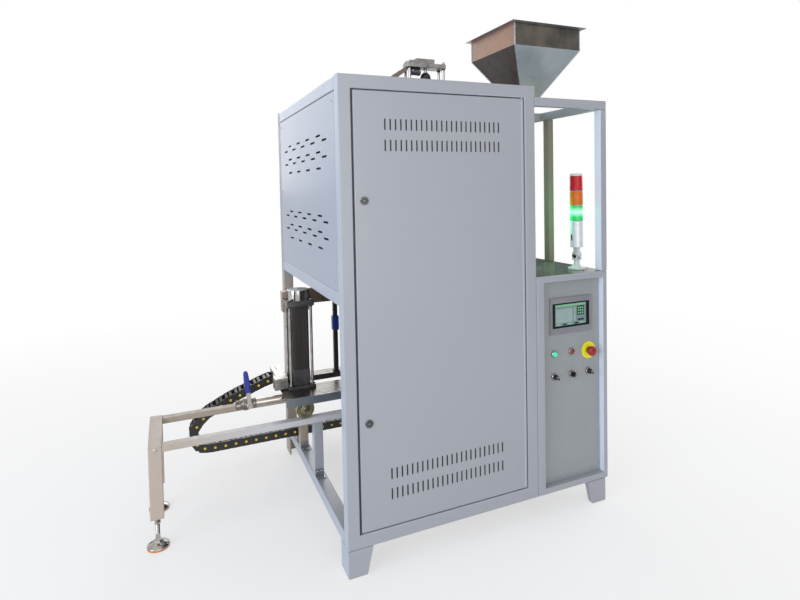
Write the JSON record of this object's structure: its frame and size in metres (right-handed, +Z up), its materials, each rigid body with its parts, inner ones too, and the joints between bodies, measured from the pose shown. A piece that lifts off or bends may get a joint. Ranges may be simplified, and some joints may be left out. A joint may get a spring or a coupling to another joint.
{
  "type": "frit melting furnace",
  "caption": "Free-standing frit melting furnace: door cabinet with a drained crucible chamber, control section with hopper feeder, and a lift trolley on a side track.",
  "frame": {"origin": "on the floor, at the middle of the whole machine's outline seen from above", "axes": "+X to the right seen from the front, +Y from the door to the rear, +Z up"},
  "size_m": [1.9205, 1.1354, 2.12],
  "materials": {
    "powder_white": "light grey-white powder coat, fine orange peel",
    "warm_white": "warm off-white paint, slightly soiled",
    "galvanised": "bare galvanised sheet, mottled",
    "bright_steel": "bright nickel plate",
    "dark_steel": "dark oxide finish, oiled",
    "stainless": "brushed stainless",
    "black_plastic": "matt black nylon",
    "grey_plastic": "satin grey moulding",
    "fire_brick": "porous insulating brick",
    "pot_ceramic": "sintered alumina",
    "heating_alloy": "oxidised heating alloy",
    "zinc_yellow": "yellow passivated zinc",
    "lever_blue": "blue dipped vinyl",
    "green_lens": "clear green lens",
    "red_lens": "gloss red",
    "lamp_stack": "silver body with coloured lenses"
  },
  "bodies": {
    "root": {"front_frame": "powder_white", "rear_frame": "powder_white", "left_top_rail": "powder_white", "left_chamber_rail": "powder_white", "left_floor_rail": "powder_white", "right_top_rail": "powder_white", "right_chamber_rail": "powder_white", "right_floor_rail": "powder_white", "left_panel": "powder_white", "right_panel": "powder_white", "rear_panel": "powder_white", "roof_panel": "powder_white", "control_cabinet": "powder_white", "control_panel": "powder_white", "hopper_frame_front_post": "powder_white", "hopper_frame_mid_post": "powder_white", "hopper_frame_top": "powder_white", "tower_base": "powder_white", "track_front_rail": "warm_white", "track_rear_rail": "warm_white", "track_outer_portal": "warm_white", "track_post_front": "warm_white", "track_post_rear": "warm_white", "track_inner_portal": "warm_white", "chamber_floor": "galvanised", "stopper_drive": "galvanised", "hopper": "galvanised", "feeder_motor": "dark_steel", "feeder_tube": "stainless", "drag_chain": "black_plastic", "touch_screen": "grey_plastic", "control_gear": "grey_plastic", "lining": "fire_brick", "lining_lid": "fire_brick", "crucible": "pot_ceramic", "heater": "heating_alloy"},
    "door": {"door": "powder_white"},
    "upper_lock": {"upper_lock": "bright_steel"},
    "lower_lock": {"lower_lock": "bright_steel"},
    "green_button": {"green_button": "green_lens"},
    "red_button": {"red_button": "red_lens"},
    "emergency_stop": {"emergency_stop": "red_lens"},
    "left_selector": {"left_selector": "black_plastic"},
    "middle_selector": {"middle_selector": "black_plastic"},
    "right_selector": {"right_selector": "black_plastic"},
    "feeder_screw": {"feeder_screw": "stainless"},
    "stopper_rod": {"stopper_rod": "pot_ceramic"},
    "tower_stack": {"tower_stack": "lamp_stack"},
    "levelling_foot_front": {"levelling_foot_front": "bright_steel"},
    "levelling_foot_rear": {"levelling_foot_rear": "bright_steel"},
    "trolley": {"trolley_frame": "dark_steel", "lift_column": "dark_steel", "quench_pan": "stainless", "drain_valve": "stainless"},
    "wheel_front_left": {"wheel_front_left": "zinc_yellow"},
    "wheel_front_right": {"wheel_front_right": "zinc_yellow"},
    "wheel_rear_left": {"wheel_rear_left": "zinc_yellow"},
    "wheel_rear_right": {"wheel_rear_right": "zinc_yellow"},
    "lift_arm": {"lift_arm": "dark_steel"},
    "valve_lever": {"valve_lever": "lever_blue"}
  },
  "joints": [
    {"name": "door_swing", "type": "hinge", "parent": "root", "child": "door", "pos_m": [0.47375, -0.55225, 0.95], "axis": [0, 0, 1], "range_deg": [0, 110]},
    {"name": "upper_lock_turn", "type": "hinge", "parent": "door", "child": "upper_lock", "pos_m": [-0.20225, -0.55825, 1.3545], "axis": [0, 1, 0], "range_deg": [0, 90]},
    {"name": "lower_lock_turn", "type": "hinge", "parent": "door", "child": "lower_lock", "pos_m": [-0.20225, -0.55825, 0.5505], "axis": [0, 1, 0], "range_deg": [0, 90]},
    {"name": "green_button_press", "type": "slide", "parent": "root", "child": "green_button", "axis": [0, 1, 0], "range_m": [0, 0.003], "stiffness_N_per_m": 400},
    {"name": "red_button_press", "type": "slide", "parent": "root", "child": "red_button", "axis": [0, 1, 0], "range_m": [0, 0.003], "stiffness_N_per_m": 400},
    {"name": "emergency_stop_press", "type": "slide", "parent": "root", "child": "emergency_stop", "axis": [0, 1, 0], "range_m": [0, 0.006]},
    {"name": "left_selector_turn", "type": "hinge", "parent": "root", "child": "left_selector", "pos_m": [0.64155, -0.53175, 0.5818], "axis": [0, 1, 0], "range_deg": [0, 90]},
    {"name": "middle_selector_turn", "type": "hinge", "parent": "root", "child": "middle_selector", "pos_m": [0.73285, -0.53175, 0.5818], "axis": [0, 1, 0], "range_deg": [-90, 0]},
    {"name": "right_selector_turn", "type": "hinge", "parent": "root", "child": "right_selector", "pos_m": [0.82415, -0.53175, 0.5818], "axis": [0, 1, 0], "range_deg": [0, 90]},
    {"name": "feeder_screw_turn", "type": "hinge", "parent": "root", "child": "feeder_screw", "pos_m": [0.25825, -0.16925, 1.7], "axis": [1, 0, 0], "continuous": true},
    {"name": "stopper_lift", "type": "slide", "parent": "root", "child": "stopper_rod", "axis": [0, 0, 1], "range_m": [0, 0.015]},
    {"name": "tower_fold", "type": "hinge", "parent": "root", "child": "tower_stack", "pos_m": [0.82625, -0.45925, 1.085], "axis": [-1, 0, 0], "range_deg": [0, 90]},
    {"name": "levelling_front", "type": "slide", "parent": "root", "child": "levelling_foot_front", "axis": [0, 0, 1], "range_m": [-0.02, 0.015]},
    {"name": "levelling_rear", "type": "slide", "parent": "root", "child": "levelling_foot_rear", "axis": [0, 0, 1], "range_m": [-0.02, 0.015]},
    {"name": "trolley_travel", "type": "slide", "parent": "root", "child": "trolley", "axis": [1, 0, 0], "range_m": [-0.45, 0], "deforming": ["drag_chain"]},
    {"name": "lift_stroke", "type": "slide", "parent": "trolley", "child": "lift_arm", "axis": [0, 0, 1], "range_m": [-0.25, 0]},
    {"name": "valve_turn", "type": "hinge", "parent": "trolley", "child": "valve_lever", "pos_m": [-0.55125, -0.00925, 0.4922], "axis": [0, 1, 0], "range_deg": [-90, 0]},
    {"name": "wheel_front_left_roll", "type": "hinge", "parent": "trolley", "child": "wheel_front_left", "pos_m": [-0.32375, -0.05925, 0.4483], "axis": [0, 1, 0], "continuous": true},
    {"name": "wheel_front_right_roll", "type": "hinge", "parent": "trolley", "child": "wheel_front_right", "pos_m": [0.35825, -0.05925, 0.4483], "axis": [0, 1, 0], "continuous": true},
    {"name": "wheel_rear_left_roll", "type": "hinge", "parent": "trolley", "child": "wheel_rear_left", "pos_m": [-0.32375, 0.22875, 0.4483], "axis": [0, 1, 0], "continuous": true},
    {"name": "wheel_rear_right_roll", "type": "hinge", "parent": "trolley", "child": "wheel_rear_right", "pos_m": [0.35825, 0.22875, 0.4483], "axis": [0, 1, 0], "continuous": true}
  ],
  "couplings": [
    {"joint": "wheel_front_left_roll", "follows": "trolley_travel", "rad_per_m": 25.641},
    {"joint": "wheel_front_right_roll", "follows": "trolley_travel", "rad_per_m": 25.641},
    {"joint": "wheel_rear_left_roll", "follows": "trolley_travel", "rad_per_m": 25.641},
    {"joint": "wheel_rear_right_roll", "follows": "trolley_travel", "rad_per_m": 25.641}
  ]
}
